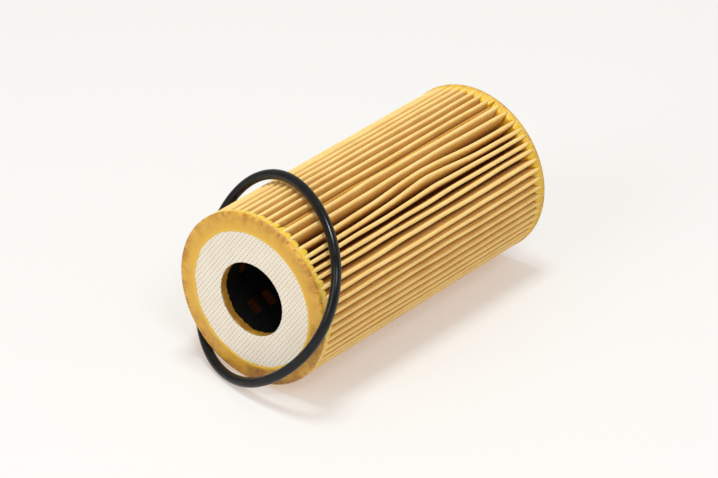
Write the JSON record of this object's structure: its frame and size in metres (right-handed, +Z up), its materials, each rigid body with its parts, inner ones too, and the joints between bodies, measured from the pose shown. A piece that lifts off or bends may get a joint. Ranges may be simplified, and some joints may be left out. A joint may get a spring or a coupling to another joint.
{
  "type": "oil filter cartridge",
  "caption": "Round pleated-paper oil filter cartridge lying on its side, with potted ends, fleece discs, a perforated centre tube and a loose rubber seal ring.",
  "frame": {"origin": "centre of the bore in the cartridge's front face", "axes": "+Y along the cartridge's axis from the front face to the rear face, +Z up, +X to the right seen from the front"},
  "size_m": [0.0826, 0.1513, 0.0753],
  "materials": {
    "filter_paper": "matt",
    "seam_glue": "satin",
    "tube_plastic": "matt",
    "fleece": "matt",
    "potting": "satin",
    "seal_rubber": "satin"
  },
  "bodies": {
    "cartridge": {"pleated_media": "filter_paper", "media_seam": "seam_glue", "centre_tube": "tube_plastic", "front_end_disc": "fleece", "rear_end_disc": "fleece", "front_adhesive": "potting", "rear_adhesive": "potting"},
    "seal": {"seal_ring": "seal_rubber"}
  },
  "joints": [
    {"name": "seal_slide", "type": "slide", "parent": "cartridge", "child": "seal", "axis": [0, -1, 0], "range_m": [0, 0.04]}
  ]
}
